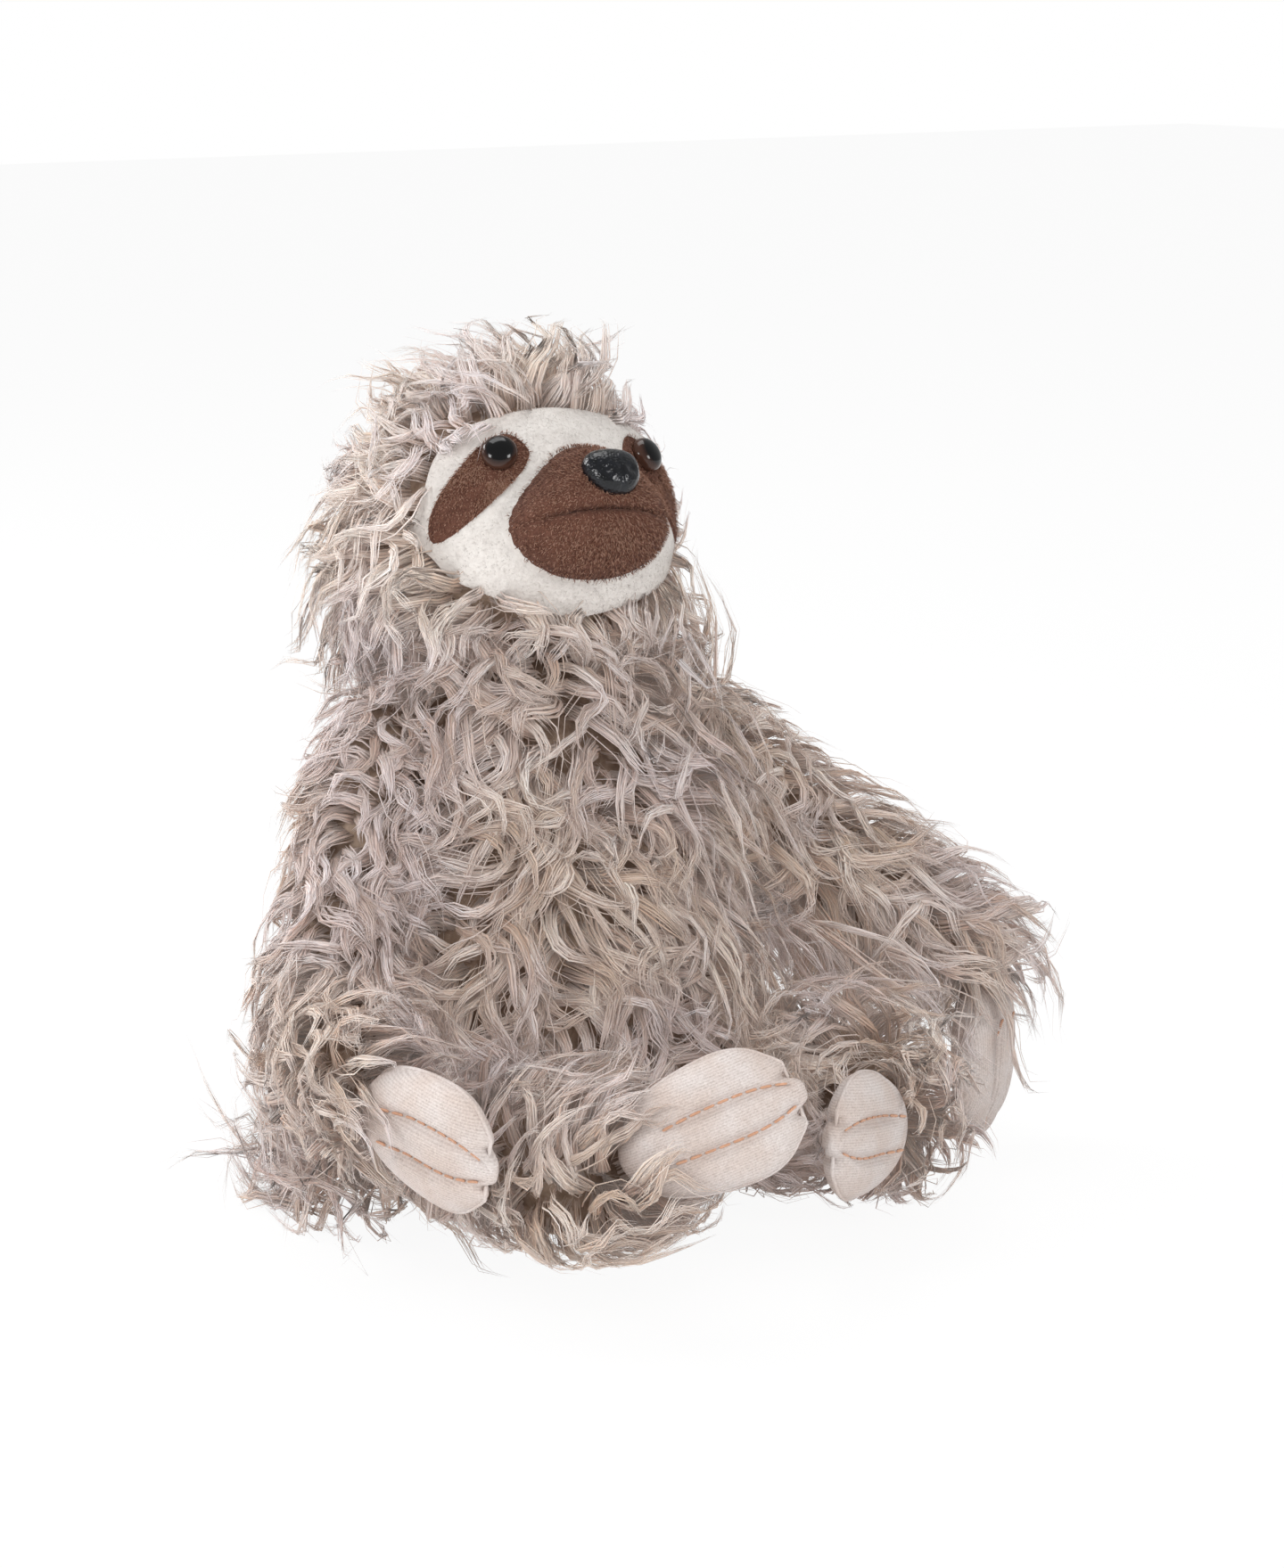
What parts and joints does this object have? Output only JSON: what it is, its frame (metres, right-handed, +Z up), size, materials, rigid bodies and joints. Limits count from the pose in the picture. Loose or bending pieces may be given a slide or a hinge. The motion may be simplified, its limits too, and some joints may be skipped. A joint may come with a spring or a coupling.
{
  "type": "plush sloth toy",
  "caption": "Sitting plush sloth with shaggy fur, a pale mask face with dark eye patches and muzzle, knit hands and feet with stitched claws, and limbs that turn at their seams.",
  "frame": {"origin": "middle of the flat seat under the torso, on the surface that the toy sits on", "axes": "+Z up, -Y the way the torso faces, +X the toy's own left"},
  "size_m": [0.2921, 0.2277, 0.2848],
  "materials": {
    "long_fur": "shaggy curled pile",
    "short_plush": "short brushed pile",
    "brown_plush": "short nap",
    "knit": "brushed knit",
    "fibre": "loose fibre",
    "pellets": "cloth bag of pellets",
    "eye_gloss": "polished",
    "nose_plastic": "pebbled satin",
    "washer_plastic": "moulded"
  },
  "bodies": {
    "torso": {"torso_front_cover": "long_fur", "torso_back_cover": "long_fur", "torso_fill": "fibre", "pellet_bag": "pellets"},
    "head": {"head_hood": "long_fur", "face_panel": "short_plush", "muzzle_upper": "brown_plush", "muzzle_lower": "brown_plush", "nose": "nose_plastic", "nose_washer": "washer_plastic", "head_fill": "fibre", "eye_patch_left": "brown_plush", "eye_left": "eye_gloss", "eye_washer_left": "washer_plastic", "eye_patch_right": "brown_plush", "eye_right": "eye_gloss", "eye_washer_right": "washer_plastic"},
    "arm_right": {"arm_cover_right": "long_fur", "arm_fill_right": "fibre"},
    "hand_right": {"hand_back_right": "knit", "hand_palm_right": "knit", "hand_fill_right": "fibre"},
    "arm_left": {"arm_cover_left": "long_fur", "arm_fill_left": "fibre"},
    "hand_left": {"hand_back_left": "knit", "hand_palm_left": "knit", "hand_fill_left": "fibre"},
    "leg_right": {"leg_cover_right": "long_fur", "leg_fill_right": "fibre"},
    "foot_right": {"foot_top_right": "knit", "foot_sole_right": "knit", "foot_fill_right": "fibre"},
    "leg_left": {"leg_cover_left": "long_fur", "leg_fill_left": "fibre"},
    "foot_left": {"foot_top_left": "knit", "foot_sole_left": "knit", "foot_fill_left": "fibre"}
  },
  "joints": [
    {"name": "neck_turn", "type": "hinge", "parent": "torso", "child": "head", "pos_m": [0, 0, 0.2], "axis": [0, 0, 1], "range_deg": [-30, 30]},
    {"name": "shoulder_right", "type": "hinge", "parent": "torso", "child": "arm_right", "pos_m": [-0.055, 0, 0.16], "axis": [-1, 0, 0], "range_deg": [-15, 90]},
    {"name": "shoulder_left", "type": "hinge", "parent": "torso", "child": "arm_left", "pos_m": [0.055, 0, 0.16], "axis": [-1, 0, 0], "range_deg": [-15, 90]},
    {"name": "hip_right", "type": "hinge", "parent": "torso", "child": "leg_right", "pos_m": [-0.046, -0.058, 0.036], "axis": [-1, 0, 0], "range_deg": [-60, 25]},
    {"name": "hip_left", "type": "hinge", "parent": "torso", "child": "leg_left", "pos_m": [0.046, -0.058, 0.036], "axis": [-1, 0, 0], "range_deg": [-60, 25]},
    {"name": "wrist_right", "type": "hinge", "parent": "arm_right", "child": "hand_right", "pos_m": [-0.102, -0.069, 0.068], "axis": [-0.0218, 0.1549, -0.9877], "range_deg": [0, 50]},
    {"name": "wrist_left", "type": "hinge", "parent": "arm_left", "child": "hand_left", "pos_m": [0.159, -0.06, 0.066], "axis": [-0.8829, -0.4695, 0], "range_deg": [-30, 30]},
    {"name": "ankle_right", "type": "hinge", "parent": "leg_right", "child": "foot_right", "pos_m": [-0.05, -0.133, 0.054], "axis": [0.1938, -0.3912, -0.8996], "range_deg": [0, 45]},
    {"name": "ankle_left", "type": "hinge", "parent": "leg_left", "child": "foot_left", "pos_m": [0.068, -0.121, 0.041], "axis": [0.1763, 0.1102, 0.9781], "range_deg": [0, 45]}
  ]
}
